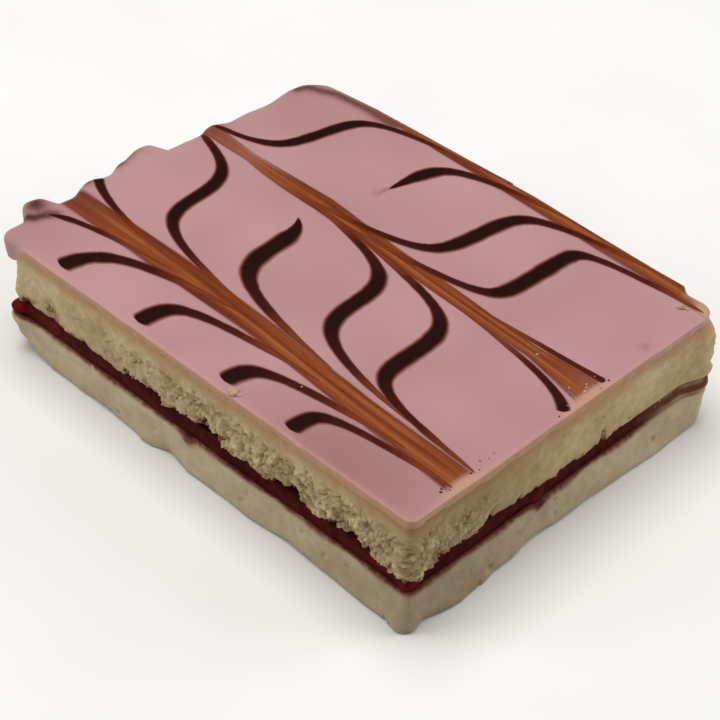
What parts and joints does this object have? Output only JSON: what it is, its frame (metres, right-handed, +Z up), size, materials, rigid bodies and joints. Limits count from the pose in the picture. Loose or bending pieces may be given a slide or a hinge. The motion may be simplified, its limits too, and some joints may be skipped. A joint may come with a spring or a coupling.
{
  "type": "alexander torte slice",
  "caption": "Oblong slice of layered shortbread with a red jam filling and a pink glaze feathered with chocolate; lies flat to be served or stacked.",
  "frame": {"origin": "middle of the flat underside of the base biscuit, on the surface that the slice lies on", "axes": "+X along the long cut side, away from the sheet's own edge with its glaze drips; +Y across the slice; +Z up through the layers to the glaze"},
  "size_m": [0.0874, 0.0647, 0.0198],
  "materials": {
    "pale_shortbread": "matte, fine pores",
    "red_jam": "wet gloss",
    "golden_shortbread": "matte, crumbly",
    "pink_glaze": "satin gloss with dark chocolate lines"
  },
  "bodies": {
    "root": {"base_biscuit": "pale_shortbread", "jam": "red_jam", "top_biscuit": "golden_shortbread", "glaze": "pink_glaze"}
  },
  "joints": []
}
